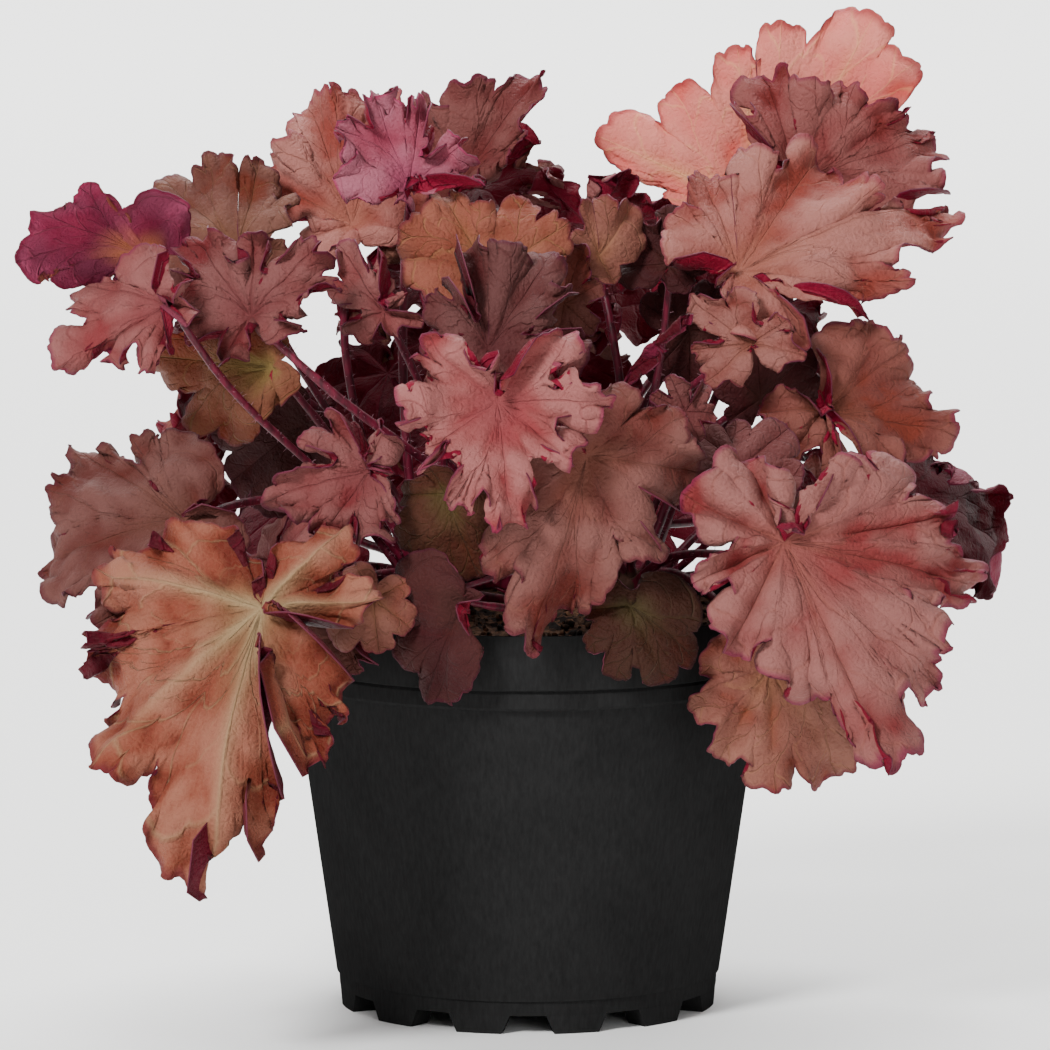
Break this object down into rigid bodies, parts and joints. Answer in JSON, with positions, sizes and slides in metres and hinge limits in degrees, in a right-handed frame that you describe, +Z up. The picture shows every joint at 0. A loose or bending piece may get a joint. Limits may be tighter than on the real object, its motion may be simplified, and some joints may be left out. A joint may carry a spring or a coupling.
{
  "type": "potted heuchera plant",
  "caption": "Leafy garden perennial with ruffled, lobed bronze and rose leaves on slender stalks, growing from crowns in a round tapered nursery pot.",
  "frame": {"origin": "on the pot's axis, on the surface the pot stands on", "axes": "+Z up, -Y towards the showiest side of the plant, +X to the right as seen from there"},
  "size_m": [0.334, 0.2743, 0.335],
  "materials": {
    "pot": "satin black moulded plastic",
    "potting_mix": "dark crumbly potting mix",
    "petiole": "purple-red hairy stalks",
    "leaf_bronze": "velvety leaf, bronze",
    "leaf_rose": "velvety leaf, rose",
    "leaf_orange": "velvety leaf, orange",
    "leaf_pale": "velvety leaf, pale",
    "leaf_umber": "velvety leaf, umber",
    "leaf_tan": "velvety leaf, tan",
    "leaf_olive": "velvety leaf, olive",
    "leaf_wine": "velvety leaf, wine",
    "leaf_dark": "velvety leaf, dark"
  },
  "bodies": {
    "root": {"pot": "pot", "soil": "potting_mix", "crown_left": "petiole", "crown_centre": "petiole", "crown_right": "petiole", "leaf_bronze_hanging": "leaf_bronze", "leaf_rose_right": "leaf_rose", "leaf_orange_front": "leaf_orange", "leaf_rose_front": "leaf_rose", "leaf_bronze_right": "leaf_bronze", "leaf_pale_back": "leaf_pale", "leaf_redbrown_top": "leaf_umber", "leaf_umber_right": "leaf_umber", "leaf_tan_low": "leaf_tan", "leaf_bronze_left": "leaf_bronze", "leaf_rose_left": "leaf_rose", "leaf_olive_left": "leaf_olive", "leaf_rose_shoulder": "leaf_rose", "leaf_copper_left": "leaf_rose", "leaf_rose_upper": "leaf_rose", "leaf_rose_high": "leaf_bronze", "leaf_tan_left": "leaf_tan", "leaf_young_top": "leaf_tan", "leaf_orange_top": "leaf_orange", "leaf_back_top": "leaf_bronze", "leaf_wine_left": "leaf_wine", "leaf_wine_far": "leaf_wine", "leaf_under_bronze": "leaf_bronze", "leaf_olive_front": "leaf_olive", "leaf_olive_rim": "leaf_olive", "leaf_folded_low": "leaf_dark", "leaf_pink_shoulder": "leaf_rose", "leaf_dark_small": "leaf_dark", "leaf_curl_small": "leaf_tan", "leaf_rose_small": "leaf_rose", "leaf_tan_rim": "leaf_tan", "leaf_red_rim": "leaf_umber", "leaf_wine_curl": "leaf_wine", "leaf_curled_centre": "leaf_rose", "leaf_shade_centre": "leaf_umber", "leaf_shade_left": "leaf_dark", "leaf_umber_behind": "leaf_dark", "leaf_umber_low": "leaf_dark", "leaf_back_01": "leaf_bronze", "leaf_back_02": "leaf_rose", "leaf_back_03": "leaf_umber", "leaf_back_04": "leaf_tan", "leaf_back_05": "leaf_bronze", "leaf_back_06": "leaf_olive", "leaf_back_07": "leaf_bronze", "leaf_back_08": "leaf_rose", "leaf_back_09": "leaf_umber", "leaf_back_10": "leaf_tan", "leaf_back_11": "leaf_bronze", "leaf_back_12": "leaf_olive", "leaf_back_13": "leaf_bronze", "leaf_back_14": "leaf_rose", "leaf_back_15": "leaf_umber", "leaf_back_16": "leaf_tan"}
  },
  "joints": []
}
